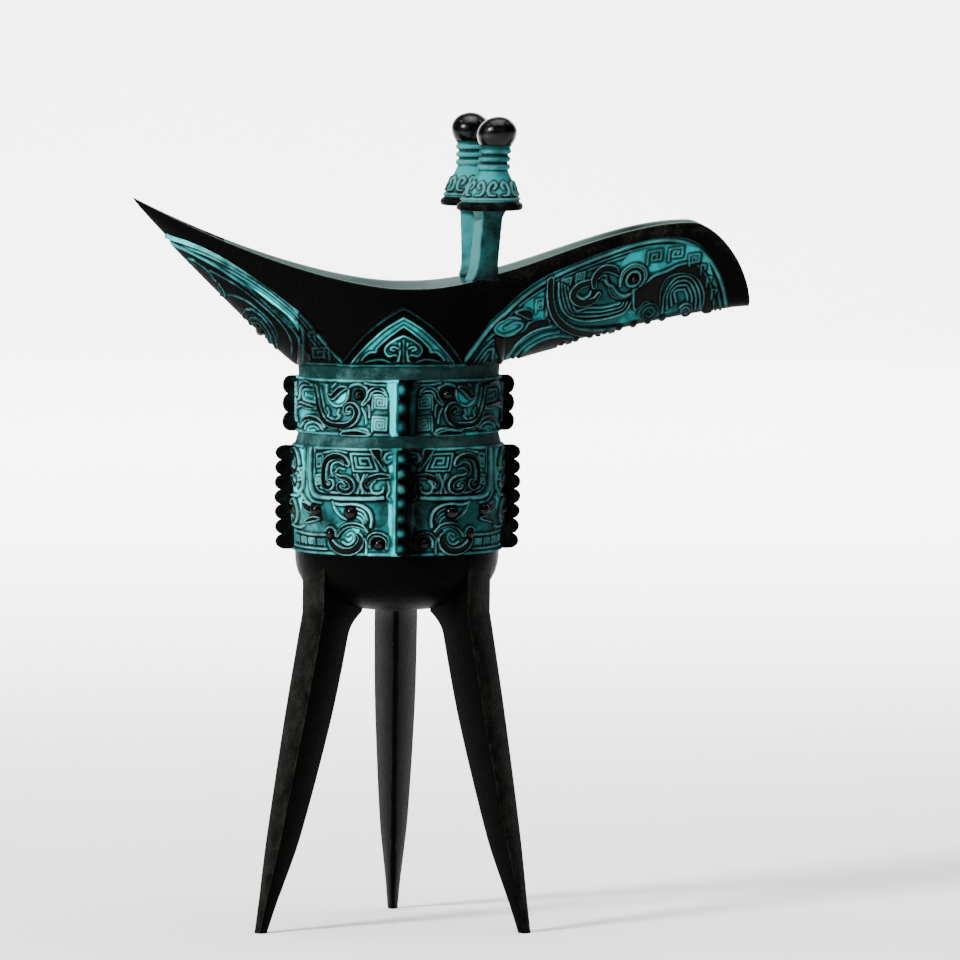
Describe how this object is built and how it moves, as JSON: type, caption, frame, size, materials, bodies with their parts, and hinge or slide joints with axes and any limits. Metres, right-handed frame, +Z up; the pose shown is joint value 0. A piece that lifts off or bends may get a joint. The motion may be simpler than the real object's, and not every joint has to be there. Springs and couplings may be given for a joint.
{
  "type": "jue wine vessel",
  "caption": "Small cast bronze tripod wine cup with a long pouring spout, a pointed tail, capped posts on the rim, toothed flanges and a strap handle.",
  "frame": {"origin": "middle of the bottom of the bounding box, on the ground under the feet", "axes": "+Z up, +X from the tail to the spout, +Y toward the handle at the back"},
  "size_m": [0.1624, 0.0718, 0.2142],
  "materials": {
    "bronze": "dark bronze under a blue-green patina"
  },
  "bodies": {
    "root": {"jue_vessel": "bronze"}
  },
  "joints": []
}
